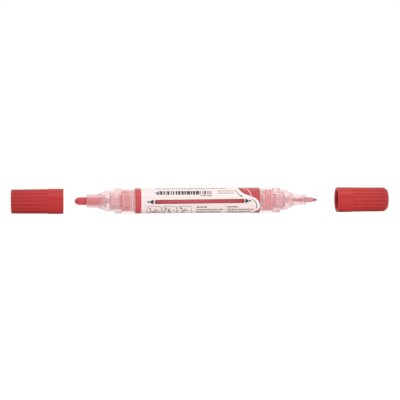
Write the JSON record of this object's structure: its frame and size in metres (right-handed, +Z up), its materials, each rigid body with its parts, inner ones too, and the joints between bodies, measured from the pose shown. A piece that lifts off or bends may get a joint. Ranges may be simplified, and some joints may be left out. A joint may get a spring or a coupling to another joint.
{
  "type": "double-ended pump marker",
  "caption": "Double-ended pump marker with a bullet nib and a fine nib, clear paint barrel, sprung valves and fluted pull-off caps, laid out uncapped.",
  "frame": {"origin": "on the barrel's axis, midway between the two shoulders that the caps close against", "axes": "+X along the barrel from the broad nib towards the fine nib, +Z up, +Y away from the printed face"},
  "size_m": [0.2342, 0.0156, 0.0156],
  "materials": {
    "clear_plastic": "frosted clear moulded plastic, stained pink by the paint",
    "label_film": "printed white film",
    "cap_plastic": "satin moulded red",
    "natural_plastic": "natural moulded plastic",
    "broad_felt": "pressed fibre soaked with red paint",
    "fine_felt": "pressed fibre, pink with a darker tip",
    "seal_rubber": "soft pale seal rubber, stained pink by the paint",
    "spring_steel": "drawn spring wire",
    "bright_steel": "polished ball"
  },
  "bodies": {
    "barrel": {"barrel_tube": "clear_plastic", "label_sleeve": "label_film", "broad_front_section": "clear_plastic", "broad_o_ring": "seal_rubber", "broad_valve_case": "natural_plastic", "broad_valve_gasket": "seal_rubber", "broad_valve_spring": "spring_steel", "fine_front_section": "clear_plastic", "fine_o_ring": "seal_rubber", "fine_valve_case": "natural_plastic", "fine_valve_gasket": "seal_rubber", "fine_valve_spring": "spring_steel"},
    "broad_writer": {"broad_nib": "broad_felt", "broad_valve_stem": "natural_plastic"},
    "fine_writer": {"fine_nib": "fine_felt", "fine_valve_stem": "natural_plastic"},
    "broad_cap": {"broad_cap_shell": "cap_plastic", "broad_cap_liner": "natural_plastic"},
    "fine_cap": {"fine_cap_shell": "cap_plastic", "fine_cap_liner": "natural_plastic"},
    "ball": {"mixing_ball": "bright_steel"}
  },
  "joints": [
    {"name": "broad_cap_slide", "type": "slide", "parent": "barrel", "child": "broad_cap", "axis": [1, 0, 0], "range_m": [0, 0.0311]},
    {"name": "fine_cap_slide", "type": "slide", "parent": "barrel", "child": "fine_cap", "axis": [-1, 0, 0], "range_m": [0, 0.03585]},
    {"name": "broad_nib_press", "type": "slide", "parent": "barrel", "child": "broad_writer", "axis": [1, 0, 0], "range_m": [0, 0.0025], "stiffness_N_per_m": 600, "springref_m": -0.0015, "deforming": ["broad_valve_spring"]},
    {"name": "fine_nib_press", "type": "slide", "parent": "barrel", "child": "fine_writer", "axis": [-1, 0, 0], "range_m": [0, 0.0025], "stiffness_N_per_m": 600, "springref_m": -0.0015, "deforming": ["fine_valve_spring"]},
    {"name": "ball_roll", "type": "slide", "parent": "barrel", "child": "ball", "axis": [1, 0, 0], "range_m": [-0.056, 0.016]}
  ]
}
